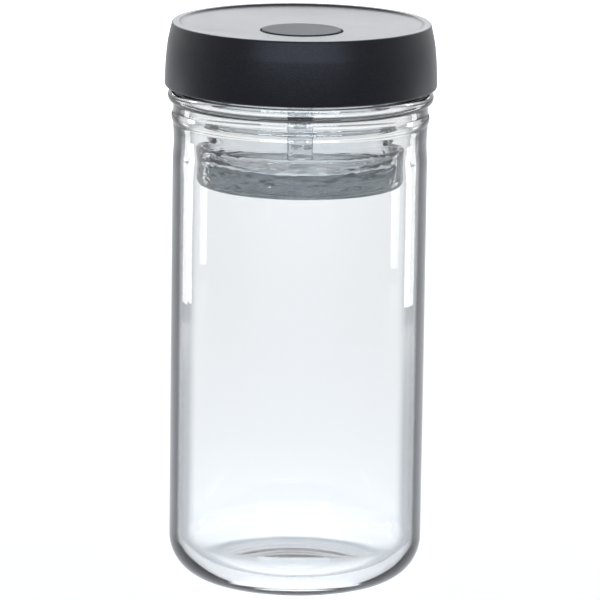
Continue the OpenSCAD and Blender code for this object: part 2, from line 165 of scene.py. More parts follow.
floor_glass.inputs[1].default_value = 0.05
floor_links.new(floor_place.outputs["Object"], floor_reach.inputs[0])
floor_links.new(floor_reach.outputs["Value"], floor_far.inputs["Value"])
floor_links.new(floor_far.outputs["Result"], floor_lift.inputs[1])
floor_links.new(floor_ray.outputs["Is Camera Ray"], floor_lift.inputs[0])
floor_links.new(floor_ray.outputs["Is Transmission Ray"], floor_glass.inputs[0])
floor_links.new(floor_lift.outputs[0], floor_glass.inputs[2])
floor_links.new(floor_glass.outputs[0], floor_shader.inputs["Emission Strength"])
floor_side = floor_nodes.new("ShaderNodeNewGeometry")
floor_under = floor_nodes.new("ShaderNodeBsdfTransparent")
floor_choose = floor_nodes.new("ShaderNodeMixShader")
floor_links.new(floor_side.outputs["Backfacing"], floor_choose.inputs[0])
floor_links.new(floor_shader.outputs[0], floor_choose.inputs[1])
floor_links.new(floor_under.outputs[0], floor_choose.inputs[2])
floor_links.new(floor_choose.outputs[0], floor_nodes["Material Output"].inputs["Surface"])
floor_mesh.materials.append(floor_paint)

# Glass jar. A heavy blown jar of clear glass with a round heel, a shallow waist, a low ring and a
# carrying bead. The narrower finish above the bead carries a four-start thread for the lid, and the
# base is hollowed a little, so that the jar stands on a flat ring.
body_r = 56.25 * mm
wall = 4.8 * mm
inner_r = body_r - wall
jar_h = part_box("glass_jar")[1][2]
floor_t = 7 * mm
heel_radius = 19 * mm
floor_radius = 14 * mm
foot_ring_w = 7 * mm
push_up = 2.5 * mm
finish_r = 52.6 * mm
mouth_r = finish_r - 4.6 * mm
lip_radius = 1.6 * mm
bead_z = jar_h - 20.7 * mm
bead_radius = 2.7 * mm
bead_r = body_r + 2.4 * mm - bead_radius
bead_fillet = 0.5 * mm
shoulder_fillet = 1.5 * mm
ring_z = bead_z - 9.2 * mm
ring_out = 0.75 * mm
ring_radius = 4 * mm
ring_fillet = 3 * mm
waist_z = ring_z - 11 * mm
waist_in = 0.35 * mm
waist_half = 7 * mm
narrow_end = 9 * mm
narrow_radius = 20 * mm
thread_height = 1.1 * mm
thread_half = 1.5 * mm
thread_low = jar_h - 8 * mm
thread_rise = 4.5 * mm


def arc(centre, radius, start, stop, count):
    """Points on a circle: centre plus radius times (cos a, sin a), a from start to stop in degrees."""
    a = np.radians(np.linspace(start, stop, count))
    return np.stack([centre[0] + radius * np.cos(a), centre[1] + radius * np.sin(a)], -1)


def straight(first, last, count):
    """Points spread evenly between two places, both of them left out."""
    share = np.linspace(0, 1, count + 2)[1:-1, None]
    return np.asarray(first) * (1 - share) + np.asarray(last) * share


def turned(profile, columns):
    """Profile points (r, z) turned round the axis: (r cos a, r sin a, z) for evenly spaced angles a."""
    a = np.linspace(0, 2 * np.pi, columns, endpoint=False)
    r = profile[:, 0:1]
    z = profile[:, 1:2]
    return np.stack([r * np.cos(a), r * np.sin(a), z + 0 * a], -1)


def mesh_piece(name, grid, closed_profile, crease=40):
    """A smooth mesh from a grid of profile rows and angle columns.

    Columns always join up round the axis. Rows join up too where the profile is closed; otherwise the
    first and the last row lie on the axis and become one pole each, joined by triangles.
    """
    rows, columns = grid.shape[:2]
    index = np.arange(rows * columns).reshape(rows, columns)
    low = index if closed_profile else index[1:-2]
    high = np.roll(index, -1, axis=0) if closed_profile else index[2:-1]
    quads = np.stack([low, np.roll(low, -1, axis=1), np.roll(high, -1, axis=1), high], -1).reshape(-1, 4)
    parts = [quads]
    if not closed_profile:
        second = index[1]
        last = index[-2]
        first_pole = np.full(columns, index[0, 0])
        last_pole = np.full(columns, index[-1, 0])
        parts.append(np.stack([first_pole, np.roll(second, -1), second], -1))
        parts.append(np.stack([last, np.roll(last, -1), last_pole], -1))
    used = np.unique(np.concatenate([part.ravel() for part in parts]))
    renumber = np.zeros(rows * columns, int)
    renumber[used] = np.arange(len(used))
    faces = sum((renumber[part].tolist() for part in parts), [])
    mesh = bpy.data.meshes.new(name)
    mesh.from_pydata(grid.reshape(-1, 3)[used].tolist(), [], faces)
    mesh.shade_smooth()
    mesh.set_sharp_from_angle(angle=math.radians(crease))
    piece = bpy.data.objects.new(name, mesh)
    bpy.context.scene.collection.objects.link(piece)
    return piece


def thread_field(z, columns, low, rise, half, starts=4, span=1.9, fade=0.14):
    """Share of the thread's height at each row and angle, from 0 to 1.

    Each start is a ridge whose middle climbs evenly from low by rise over an angle of span radians. Across
    the ridge the share is one minus the square of the distance from its middle, in half widths, squared
    again; at both ends it fades in smoothly.
    """
    a = np.linspace(0, 2 * np.pi, columns, endpoint=False)
    first = 2 * np.pi * np.arange(starts) / starts
    along = np.mod(a[:, None] - first, 2 * np.pi) / span
    distance = (z[:, None, None] - low - rise * along) / half
    across = np.clip(1 - distance ** 2, 0, 1) ** 2
    ends = np.clip(np.minimum(along, 1 - along) / fade, 0, 1)
    return (across * ends * ends * (3 - 2 * ends)).max(axis=2)


hollow_r = body_r - heel_radius - foot_ring_w
hollow_curve = (hollow_r ** 2 + push_up ** 2) / (2 * push_up)
hollow_angle = math.degrees(math.asin(hollow_r / hollow_curve))
waist_curve = (waist_half ** 2 + waist_in ** 2) / (2 * waist_in)
waist_angle = math.degrees(math.asin(waist_half / waist_curve))
ring_foot = ring_radius - ring_out + ring_fillet
ring_reach = math.sqrt((ring_radius + ring_fillet) ** 2 - ring_foot ** 2)
ring_angle = math.degrees(math.atan2(ring_reach, ring_foot))
bead_foot = body_r + bead_fillet - bead_r
bead_drop = math.sqrt((bead_radius + bead_fillet) ** 2 - bead_foot ** 2)
bead_angle = math.degrees(math.atan2(bead_drop, bead_foot))
bead_top = bead_z + bead_radius
narrow_angle = math.degrees(math.acos(1 - (inner_r - mouth_r) / (2 * narrow_radius)))
narrow_top = bead_z + narrow_end
narrow_z = narrow_top - 2 * narrow_radius * math.sin(math.radians(narrow_angle))
finish_rows = 64

below_finish = np.concatenate([
    arc((0, push_up - hollow_curve), hollow_curve, 90, 90 - hollow_angle, 16),
    straight((hollow_r, 0), (body_r - heel_radius, 0), 3),
    arc((body_r - heel_radius, heel_radius), heel_radius, -90, 0, 32),
    straight((body_r, heel_radius), (body_r, waist_z - waist_half), 24),
    arc((body_r - waist_in + waist_curve, waist_z), waist_curve, 180 + waist_angle, 180 - waist_angle, 16),
    arc((body_r + ring_fillet, ring_z - ring_reach), ring_fillet, 180, 180 - ring_angle, 7),
    arc((body_r + ring_out - ring_radius, ring_z), ring_radius, -ring_angle, ring_angle, 14)[1:-1],
    arc((body_r + ring_fillet, ring_z + ring_reach), ring_fillet, 180 + ring_angle, 180, 7),
    arc((body_r + bead_fillet, bead_z - bead_drop), bead_fillet, 180, 180 - bead_angle, 8),
    arc((bead_r, bead_z), bead_radius, -bead_angle, 90, 24)[1:],
    arc((finish_r + shoulder_fillet, bead_top + shoulder_fillet), shoulder_fillet, 270, 180, 8)])
finish_wall = straight((finish_r, bead_top + shoulder_fillet), (finish_r, jar_h - lip_radius), finish_rows)
above_finish = np.concatenate([
    arc((finish_r - lip_radius, jar_h - lip_radius), lip_radius, 0, 90, 10),
    arc((mouth_r + lip_radius, jar_h - lip_radius), lip_radius, 90, 180, 10),
    straight((mouth_r, jar_h - lip_radius), (mouth_r, narrow_top), 8),
    arc((mouth_r + narrow_radius, narrow_top), narrow_radius, 180, 180 + narrow_angle, 14),
    arc((inner_r - narrow_radius, narrow_z), narrow_radius, narrow_angle, 0, 14)[1:],
    straight((inner_r, narrow_z), (inner_r, floor_t + floor_radius), 24),
    arc((inner_r - floor_radius, floor_t + floor_radius), floor_radius, 0, -90, 24),
    straight((inner_r - floor_radius, floor_t), (0, floor_t), 8),
    [[0, floor_t]]])
jar_profile = np.concatenate([below_finish, finish_wall, above_finish])
jar_columns = 288
jar_grid = turned(jar_profile, jar_columns)
ridge = thread_height * thread_field(finish_wall[:, 1], jar_columns, thread_low, thread_rise, thread_half)
finish_part = slice(len(below_finish), len(below_finish) + finish_rows)
jar_grid[finish_part, :, :2] *= (1 + ridge / finish_r)[:, :, None]
jar = mesh_piece("jar_glass_body", jar_grid, closed_profile=False)


def new_material(name):
    """A new material with its node tree, its Principled shader and the object's own coordinates."""
    material = bpy.data.materials.new(name)
    material.use_nodes = True
    tree = material.node_tree
    place = tree.nodes.new("ShaderNodeTexCoord")
    return material, tree, tree.nodes["Principled BSDF"], place.outputs["Object"]


def new_group(name, inputs, outputs):
    """A shader node group with the named value inputs and outputs, plus the coordinates it reads."""
    group = bpy.data.node_groups.new(name, "ShaderNodeTree")
    group.interface.new_socket("Place", in_out="INPUT", socket_type="NodeSocketVector")
    for label, value in inputs.items():
        socket = group.interface.new_socket(label, in_out="INPUT", socket_type="NodeSocketFloat")
        socket.default_value = value
    for label in outputs:
        group.interface.new_socket(label, in_out="OUTPUT", socket_type="NodeSocketFloat")
    return group, group.nodes.new("NodeGroupInput").outputs, group.nodes.new("NodeGroupOutput").inputs


def place_group(tree, group, place, **values):
    """The group as a node in a material, fed with coordinates and its own values."""
    node = tree.nodes.new("ShaderNodeGroup")
    node.node_tree = group
    tree.links.new(place, node.inputs["Place"])
    for label, value in values.items():
        node.inputs[label.replace("_", " ")].default_value = value
    return node


def bump_from(tree, height, strength, distance, shader):
    """A Bump node from a height to the shader's normal."""
    bump = tree.nodes.new("ShaderNodeBump")
    bump.inputs["Strength"].default_value = strength
    bump.inputs["Distance"].default_value = distance
    tree.links.new(height, bump.inputs["Height"])
    tree.links.new(bump.outputs["Normal"], shader.inputs["Normal"])


glass_flow, flow_in, flow_out = new_group("glass_flow", {"Wave Size": 40, "Stretch": 0.35}, ["Height"])
flow_scale = glass_flow.nodes.new("ShaderNodeCombineXYZ")
flow_scale.inputs["X"].default_value = 1
flow_scale.inputs["Y"].default_value = 1
glass_flow.links.new(flow_in["Stretch"], flow_scale.inputs["Z"])
flow_place = glass_flow.nodes.new("ShaderNodeVectorMath")
flow_place.operation = "MULTIPLY"
glass_flow.links.new(flow_in["Place"], flow_place.inputs[0])
glass_flow.links.new(flow_scale.outputs[0], flow_place.inputs[1])
flow_noise = glass_flow.nodes.new("ShaderNodeTexNoise")
flow_noise.inputs["Detail"].default_value = 1.5
glass_flow.links.new(flow_place.outputs[0], flow_noise.inputs["Vector"])
glass_flow.links.new(flow_in["Wave Size"], flow_noise.inputs["Scale"])
glass_flow.links.new(flow_noise.outputs["Fac"], flow_out["Height"])


def edge_on(tree, start, full):
    """Share from 0 to 1 while one minus the cosine of the facing angle goes smoothly from start to full."""
    facing = tree.nodes.new("ShaderNodeLayerWeight")
    facing.inputs["Blend"].default_value = 0.5
    share = tree.nodes.new("ShaderNodeMapRange")
    share.interpolation_type = "SMOOTHSTEP"
    share.inputs["From Min"].default_value = start
    share.inputs["From Max"].default_value = full
    tree.links.new(facing.outputs["Facing"], share.inputs["Value"])
    return share.outputs["Result"]


def outer_skin(tree, place, near, far):
    """Share from 0 to 1 while the distance from the axis goes from near to far."""
    flat = tree.nodes.new("ShaderNodeVectorMath")
    flat.operation = "MULTIPLY"
    flat.inputs[1].default_value = (1, 1, 0)
    tree.links.new(place, flat.inputs[0])
    distance = tree.nodes.new("ShaderNodeVectorMath")
    distance.operation = "LENGTH"
    tree.links.new(flat.outputs["Vector"], distance.inputs[0])
    share = tree.nodes.new("ShaderNodeMapRange")
    share.inputs["From Min"].default_value = near
    share.inputs["From Max"].default_value = far
    tree.links.new(distance.outputs["Value"], share.inputs["Value"])
    return share.outputs["Result"]


def mixed_colour(tree, first, second, share):
    """A colour that runs from the first to the second with a share."""
    mix = tree.nodes.new("ShaderNodeMix")
    mix.data_type = "RGBA"
    mix.inputs["A"].default_value = first
    mix.inputs["B"].default_value = second
    tree.links.new(share, mix.inputs["Factor"])
    return mix


def clear_glass(tree, shader, colour):
    """Polished glass that takes its colour from a mix node."""
    tree.links.new(colour.outputs["Result"], shader.inputs["Base Color"])
    shader.inputs["Roughness"].default_value = 0.0
    shader.inputs["IOR"].default_value = 1.51
    shader.inputs["Transmission Weight"].default_value = 1.0


# The glass colour is painted dark where the surface turns edge-on to the view: painted shade that stands in
# for dark surroundings seen in the glass, near-black on the outer skin and grey on the inner one.
jar_glass, jar_tree, jar_shader, jar_place = new_material("jar_glass")
jar_skin = outer_skin(jar_tree, jar_place, inner_r + 0.3 * mm, finish_r - 0.2 * mm)
jar_painted_edge_shade = mixed_colour(jar_tree, (0.24, 0.255, 0.27, 1), (0.006, 0.007, 0.009, 1), jar_skin)
jar_tint_and_painted_edges = mixed_colour(jar_tree, (0.975, 0.98, 0.98, 1), (0, 0, 0, 1), edge_on(jar_tree, 0.5, 0.68))
jar_tree.links.new(jar_painted_edge_shade.outputs["Result"], jar_tint_and_painted_edges.inputs["B"])
clear_glass(jar_tree, jar_shader, jar_tint_and_painted_edges)
jar_flow = place_group(jar_tree, glass_flow, jar_place, Wave_Size=28, Stretch=0.3)
bump_from(jar_tree, jar_flow.outputs["Height"], 0.25, 1 * mm, jar_shader)
jar.data.materials.append(jar_glass)
# The renderer stops lamp light at glass, so the jar casts no shadow of its own.
jar.visible_shadow = False
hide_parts("glass_jar")
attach(jar, "jar")

# Glass weight. A thick pressed disc with a dish, a full round rim and a knob in the middle. A blind
# bore in the knob takes the soft plug that it hangs from. The pressing leaves its surface a little wavy.
weight_low, weight_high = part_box("glass_weight")
weight_r = 46 * mm
weight_z = weight_low[2]
knob_z = weight_high[2]
weight_top = knob_z - 17.4 * mm
dish_z = weight_z + 9.1 * mm
rim_half = 2 * mm
dish_r = weight_r - 2 * rim_half
dish_radius = 6 * mm
weight_edge = 3 * mm
knob_r = 5.7 * mm
knob_edge = 0.8 * mm
knob_fillet = 3 * mm
bore_r = 3.05 * mm
bore_z = knob_z - 9.2 * mm
bore_edge = 0.4 * mm
weight_columns = 224
weight_profile = np.concatenate([
    [[0, weight_z]],
    straight((0, weight_z), (weight_r - weight_edge, weight_z), 8),
    arc((weight_r - weight_edge, weight_z + weight_edge), weight_edge, -90, 0, 12),
    straight((weight_r, weight_z + weight_edge), (weight_r, weight_top - rim_half), 8),
    arc((weight_r - rim_half, weight_top - rim_half), rim_half, 0, 180, 24),
    arc((dish_r - dish_radius, dish_z + dish_radius), dish_radius, 0, -90, 20),
    straight((dish_r - dish_radius, dish_z), (knob_r + knob_fillet, dish_z), 8),
    arc((knob_r + knob_fillet, dish_z + knob_fillet), knob_fillet, 270, 180, 12),
    straight((knob_r, dish_z + knob_fillet), (knob_r, knob_z - knob_edge), 8),
    arc((knob_r - knob_edge, knob_z - knob_edge), knob_edge, 0, 90, 8),
    arc((bore_r + bore_edge, knob_z - bore_edge), bore_edge, 90, 180, 6),
    straight((bore_r, knob_z - bore_edge), (bore_r, bore_z + bore_edge), 6),
    arc((bore_r - bore_edge, bore_z + bore_edge), bore_edge, 0, -90, 6),
    [[0, bore_z]]])
weight = mesh_piece("weight_glass_disc", turned(weight_profile, weight_columns), closed_profile=False)
weight_glass, weight_tree, weight_shader, weight_place = new_material("weight_glass")
# The glass colour is painted a dark blue-grey where the surface turns edge-on to the view: painted shade
# that stands in for dark surroundings seen in the glass.
weight_painted_edge_share = edge_on(weight_tree, 0.35, 0.8)
weight_tint_and_painted_edges = mixed_colour(weight_tree, (0.95, 0.96, 0.965, 1), (0.06, 0.07, 0.085, 1), weight_painted_edge_share)
clear_glass(weight_tree, weight_shader, weight_tint_and_painted_edges)
weight_flow = place_group(weight_tree, glass_flow, weight_place, Wave_Size=110, Stretch=2.5)
bump_from(weight_tree, weight_flow.outputs["Height"], 1, 1 * mm, weight_shader)
# The thick glass takes up light along its depth.
weight_depth = weight_tree.nodes.new("ShaderNodeVolumeAbsorption")
weight_depth.inputs["Color"].default_value = (0.4, 0.45, 0.48, 1)
weight_depth.inputs["Density"].default_value = 34
weight_tree.links.new(weight_depth.outputs[0], weight_tree.nodes["Material Output"].inputs["Volume"])
weight.data.materials.append(weight_glass)
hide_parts("glass_weight")
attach(weight, "weight")

# Weight plug. A stud of clear silicone, pushed into the end of the boss up to its collar. Its lower
# half is pressed into the knob's bore and holds the weight by friction, on three ribs between grooves.
plug_low, plug_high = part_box("weight_plug")
plug_r = 3 * mm
plug_groove_r = 2.6 * mm
plug_top_r = 4.48 * mm
collar_r = 5.7 * mm
collar_z = plug_low[2] + 8.5 * mm
collar_top = collar_z + 1 * mm
groove_low = plug_low[2] + 2 * mm
groove_pitch = 2.2 * mm
groove_slope = 0.3 * mm
groove_w = 1.2 * mm
plug_nose = 0.7 * mm
plug_nose_h = 0.9 * mm
plug_pole_r = 0.2 * mm
plug_edge = 0.25 * mm
plug_columns = 64
corner_steps = 5


def rounded(corners, radius):
    """A closed outline with its corners rounded.

    Each corner P gives the curve (1-t)^2 A + 2t(1-t) P + t^2 B, where A and B lie on its two sides at the
    given distance, or at under half of the side where that is shorter.
    """
    point = np.asarray(corners, float)
    before = np.roll(point, 1, axis=0) - point
    after = np.roll(point, -1, axis=0) - point
    before_length = np.linalg.norm(before, axis=1, keepdims=True)
    after_length = np.linalg.norm(after, axis=1, keepdims=True)
    start = point + before / before_length * np.minimum(radius, 0.45 * before_length)
    stop = point + after / after_length * np.minimum(radius, 0.45 * after_length)
    t = np.linspace(0, 1, corner_steps)[None, :, None]
    curve = (1 - t) ** 2 * start[:, None] + 2 * t * (1 - t) * point[:, None] + t ** 2 * stop[:, None]
    return curve.reshape(-1, 2)


groove_corners = []
for groove in range(3):
    low = groove_low + groove * groove_pitch
    groove_corners += [(plug_r, low), (plug_groove_r, low + groove_slope),
                       (plug_groove_r, low + groove_w - groove_slope), (plug_r, low + groove_w)]
plug_corners = [(plug_pole_r, plug_low[2]), (plug_r - plug_nose, plug_low[2]),
                (plug_r, plug_low[2] + plug_nose_h)]
plug_corners += groove_corners
plug_corners += [(plug_r, collar_z), (collar_r, collar_z), (collar_r, collar_top), (plug_top_r, collar_top),
                 (plug_top_r, plug_high[2]), (plug_pole_r, plug_high[2])]
plug_outline = rounded(plug_corners, plug_edge)[corner_steps:-corner_steps]
plug_profile = np.concatenate([[[0, plug_low[2]]], plug_outline, [[0, plug_high[2]]]])
plug = mesh_piece("weight_plug_stud", turned(plug_profile, plug_columns), closed_profile=False)


def silicone_material(name, colour, clearness):
    """Silicone: soft gloss, a share of clearness, and a faint cloudiness from a noise."""
    material, tree, shader, place = new_material(name)
    noise = tree.nodes.new("ShaderNodeTexNoise")
    noise.inputs["Scale"].default_value = 220
    noise.inputs["Detail"].default_value = 3
    tree.links.new(place, noise.inputs["Vector"])
    dimmer = tuple(0.9 * c for c in colour[:3]) + (1,)
    tint = mixed_colour(tree, colour, dimmer, noise.outputs["Fac"])
    tree.links.new(tint.outputs["Result"], shader.inputs["Base Color"])
    shader.inputs["Roughness"].default_value = 0.45
    shader.inputs["IOR"].default_value = 1.41
    shader.inputs["Transmission Weight"].default_value = clearness
    bump_from(tree, noise.outputs["Fac"], 0.06, 0.4 * mm, shader)
    return material


clear_silicone = silicone_material("clear_silicone", (0.94, 0.95, 0.94, 1), 0.85)
plug.data.materials.append(clear_silicone)
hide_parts("weight_plug")
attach(plug, "lid")

# Lid seal. A flat ring of milky silicone between the glass lip and the liner. Two fine grooves in its
# underside leave three sealing lands.
seal_low, seal_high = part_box("lid_seal")
seal_in = mouth_r + 0.5 * mm
seal_out = seal_high[0]
seal_groove_w = 0.8 * mm
seal_groove_d = 0.5 * mm
seal_edge = 0.3 * mm
seal_columns = 224
seal_corners = [(seal_in, seal_low[2])]
for share in (0.32, 0.68):
    middle = seal_in + share * (seal_out - seal_in)
    seal_corners += [(middle - seal_groove_w / 2, seal_low[2]),
                     (middle - seal_groove_w / 4, seal_low[2] + seal_groove_d),
                     (middle + seal_groove_w / 4, seal_low[2] + seal_groove_d),
                     (middle + seal_groove_w / 2, seal_low[2])]
seal_corners += [(seal_out, seal_low[2]), (seal_out, seal_high[2]), (seal_in, seal_high[2])]
seal_grid = turned(rounded(seal_corners, seal_edge), seal_columns)
seal = mesh_piece("lid_seal_ring", seal_grid, closed_profile=True)
milky_silicone = silicone_material("milky_silicone", (0.84, 0.85, 0.84, 1), 0.15)
seal.data.materials.append(milky_silicone)
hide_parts("lid_seal")
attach(seal, "seal")

# Thread liner. The inner cap of the lid, moulded in milky natural plastic and welded into the shell on
# its weld ring. It carries four thread ridges that catch below those of the glass, and a foot that
# closes the gap to the shell.
liner_low, liner_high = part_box("thread_liner")
liner_in = finish_r + 1.6 * mm
liner_out = liner_in + 1.6 * mm
liner_foot_r = liner_high[0]
foot_z = liner_low[2]
foot_top = foot_z + 1.6 * mm
weld_top = liner_high[2]
liner_z = seal_high[2] + 0.1 * mm
liner_top = liner_z + 2 * mm
weld_out = liner_out - 4 * mm
weld_in = weld_out - 2 * mm
liner_hole_r = 20.2 * mm
liner_edge = 0.35 * mm
liner_rows = 56
liner_columns = 288
lid_thread_drop = 2.6 * mm
lid_thread_height = 0.95 * mm
lid_thread_half = 1.3 * mm
liner_corners = [(liner_in, foot_z), (liner_foot_r, foot_z), (liner_foot_r, foot_top),
                 (liner_out, foot_top), (liner_out, liner_top), (weld_out, liner_top),
                 (weld_out, weld_top), (weld_in, weld_top), (weld_in, liner_top),
                 (liner_hole_r, liner_top), (liner_hole_r, liner_z), (liner_in, liner_z)]
liner_outline = rounded(liner_corners, liner_edge)
liner_bore = straight(liner_outline[-1], liner_outline[0], liner_rows)
liner_grid = turned(np.concatenate([liner_outline, liner_bore]), liner_columns)
lid_ridge = lid_thread_height * thread_field(liner_bore[:, 1], liner_columns, thread_low - lid_thread_drop,
                                             thread_rise, lid_thread_half)
liner_grid[len(liner_outline):, :, :2] *= (1 - lid_ridge / liner_in)[:, :, None]
liner = mesh_piece("thread_liner_cap", liner_grid, closed_profile=True)

grain_outputs = ["Height", "Speck", "Cloud"]
satin_grain, grain_in, grain_out = new_group("satin_grain", {"Grain Size": 2500}, grain_outputs)
fine_noise = satin_grain.nodes.new("ShaderNodeTexNoise")
fine_noise.inputs["Detail"].default_value = 2
satin_grain.links.new(grain_in["Place"], fine_noise.inputs["Vector"])
satin_grain.links.new(grain_in["Grain Size"], fine_noise.inputs["Scale"])
slow_noise = satin_grain.nodes.new("ShaderNodeTexNoise")
slow_noise.inputs["Scale"].default_value = 30
slow_noise.inputs["Detail"].default_value = 4
satin_grain.links.new(grain_in["Place"], slow_noise.inputs["Vector"])
speck_range = satin_grain.nodes.new("ShaderNodeMapRange")
speck_range.inputs["From Min"].default_value = 0.35
speck_range.inputs["From Max"].default_value = 0.65
satin_grain.links.new(fine_noise.outputs["Fac"], speck_range.inputs["Value"])
satin_grain.links.new(fine_noise.outputs["Fac"], grain_out["Height"])
satin_grain.links.new(speck_range.outputs["Result"], grain_out["Speck"])
satin_grain.links.new(slow_noise.outputs["Fac"], grain_out["Cloud"])


def satin_plastic(name, dark, light, rough_low, rough_high, grain_size, grain_depth,
                  gloss=0.12, sheen=0.06):
    """Moulded plastic with a spark-eroded grain.

    The colour mixes dark and light by the grain's specks, the roughness runs between its two limits with
    the slow clouding, and the grain itself lifts the surface by a bump.
    """
    material, tree, shader, place = new_material(name)
    grain = place_group(tree, satin_grain, place, Grain_Size=grain_size)
    tint = mixed_colour(tree, dark, light, grain.outputs["Speck"])
    tree.links.new(tint.outputs["Result"], shader.inputs["Base Color"])
    rough = tree.nodes.new("ShaderNodeMapRange")
    rough.inputs["To Min"].default_value = rough_low
    rough.inputs["To Max"].default_value = rough_high
    tree.links.new(grain.outputs["Cloud"], rough.inputs["Value"])
    tree.links.new(rough.outputs["Result"], shader.inputs["Roughness"])
    shader.inputs["Specular IOR Level"].default_value = gloss
    shader.inputs["Specular Tint"].default_value = (0.86, 0.9, 1, 1)
    shader.inputs["Sheen Weight"].default_value = sheen
    shader.inputs["Sheen Roughness"].default_value = 0.5
    bump_from(tree, grain.outputs["Height"], grain_depth, 0.15 * mm, shader)
    return material


liner_plastic = satin_plastic("liner_plastic", (0.7, 0.71, 0.7, 1), (0.76, 0.77, 0.76, 1),
                              rough_low=0.3, rough_high=0.45, grain_size=2200, grain_depth=0.12)
liner.data.materials.append(liner_plastic)
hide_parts("thread_liner")
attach(liner, "lid")

# Vent housing. One black moulding: a flanged cup with a raised valve seat and gas slots in its floor,
# and the long bored boss below it with four gas windows. The flange is clamped under the shell on a
# silicone gasket.
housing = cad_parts["vent_housing"]
housing_plastic = satin_plastic("housing_plastic", (0.012, 0.012, 0.013, 1), (0.02, 0.02, 0.022, 1),
                                rough_low=0.3, rough_high=0.45, grain_size=2200, grain_depth=0.12)
housing.data.materials.clear()
housing.data.materials.append(housing_plastic)

# Housing gasket. A flat ring of milky silicone round the liner's hole. The housing's flange presses on
# it, which seals the housing to the liner.
gasket_low, gasket_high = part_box("housing_gasket")
gasket_edge = 0.2 * mm
gasket_columns = 128
gasket_corners = [(liner_hole_r, gasket_low[2]), (gasket_high[0], gasket_low[2]),
                  (gasket_high[0], gasket_high[2]), (liner_hole_r, gasket_high[2])]
gasket_grid = turned(rounded(gasket_corners, gasket_edge), gasket_columns)
gasket = mesh_piece("housing_gasket_ring", gasket_grid, closed_profile=True)
gasket.data.materials.append(milky_silicone)
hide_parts("housing_gasket")
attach(gasket, "lid")

# Vent spring. Stainless wire wound on a mandrel, in the boss between the cup's floor and the clip. It
# pulls the cap down and is pressed shorter when gas lifts the cap.
spring_low, spring_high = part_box("vent_spring")
wire_r = 0.35 * mm
spring_r = 3.1 * mm
spring_turns = 7
rings_per_turn = 28
wire_sides = 12
spring_fit = 0.03 * mm


def wound_wire(radius, low, high, turns, wire, rings, sides):
    """A round wire carried along a helix.

    The middle line is (R cos a, R sin a, z) with z climbing evenly. Each ring of the wire lies across that
    line: its points are the middle plus wire times (cos b outwards + sin b along the third direction).
    """
    a = np.linspace(0, 2 * np.pi * turns, turns * rings + 1)
    z = np.linspace(low + wire, high - wire, len(a))
    middle = np.stack([radius * np.cos(a), radius * np.sin(a), z], -1)
    out = np.stack([np.cos(a), np.sin(a), 0 * a], -1)
    slope = math.atan2(high - low - 2 * wire, 2 * np.pi * turns * radius)
    level = math.cos(slope)
    along = np.stack([-np.sin(a) * level, np.cos(a) * level, math.sin(slope) + 0 * a], -1)
    across = np.cross(out, along)
    b = np.linspace(0, 2 * np.pi, sides, endpoint=False)
    rim = np.cos(b)[None, :, None] * out[:, None] - np.sin(b)[None, :, None] * across[:, None]
    tube = middle[:, None] + wire * rim
    first_pole = np.repeat(middle[:1, None], sides, axis=1)
    last_pole = np.repeat(middle[-1:, None], sides, axis=1)
    return np.concatenate([first_pole, tube, last_pole])


spring_grid = wound_wire(spring_r, spring_low[2] + spring_fit, spring_high[2] - spring_fit,
                         spring_turns, wire_r, rings_per_turn, wire_sides)
spring = mesh_piece("vent_spring_wire", spring_grid, closed_profile=False, crease=60)


def drawn_steel(name, roughness, streak_size):
    """Drawn stainless steel: fine streaks from a stretched noise vary its roughness and tone a little."""
    material, tree, shader, place = new_material(name)
    stretch = tree.nodes.new("ShaderNodeMapping")
    stretch.inputs["Scale"].default_value = (1, 1, 0.06)
    tree.links.new(place, stretch.inputs["Vector"])
    streak = tree.nodes.new("ShaderNodeTexNoise")
    streak.inputs["Scale"].default_value = streak_size
    streak.inputs["Detail"].default_value = 3
    tree.links.new(stretch.outputs["Vector"], streak.inputs["Vector"])
    tint = mixed_colour(tree, (0.56, 0.57, 0.59, 1), (0.7, 0.71, 0.72, 1), streak.outputs["Fac"])
    tree.links.new(tint.outputs["Result"], shader.inputs["Base Color"])
    rough = tree.nodes.new("ShaderNodeMapRange")
    rough.inputs["To Min"].default_value = 0.7 * roughness
    rough.inputs["To Max"].default_value = 1.3 * roughness
    tree.links.new(streak.outputs["Fac"], rough.inputs["Value"])
    tree.links.new(rough.outputs["Result"], shader.inputs["Roughness"])
    shader.inputs["Metallic"].default_value = 1.0
    return material


spring_steel = drawn_steel("spring_steel", 0.25, 4000)
spring.data.materials.append(spring_steel)
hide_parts("vent_spring")
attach(spring, "lid")
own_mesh(spring)

# Vent stem and clip. A straight steel pin pressed into the cap's hub, and the push-on steel clip near
# its lower end that the spring bears on.
for steel_node in ("vent_stem", "spring_clip"):
    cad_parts[steel_node].data.materials.clear()
    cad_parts[steel_node].data.materials.append(spring_steel)

# Vent washer. A soft ring of milky silicone on the stem, under the cap's hub. It closes on the raised
# seat of the housing.
washer_low, washer_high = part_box("vent_washer")
washer_in = 1.52 * mm
washer_edge = 0.25 * mm
washer_columns = 96
washer_corners = [(washer_in, washer_low[2]), (washer_high[0], washer_low[2]),
                  (washer_high[0], washer_high[2]), (washer_in, washer_high[2])]
washer_grid = turned(rounded(washer_corners, washer_edge), washer_columns)
washer = mesh_piece("vent_washer_ring", washer_grid, closed_profile=True)
washer.data.materials.append(milky_silicone)
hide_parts("vent_washer")
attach(washer, "vent")

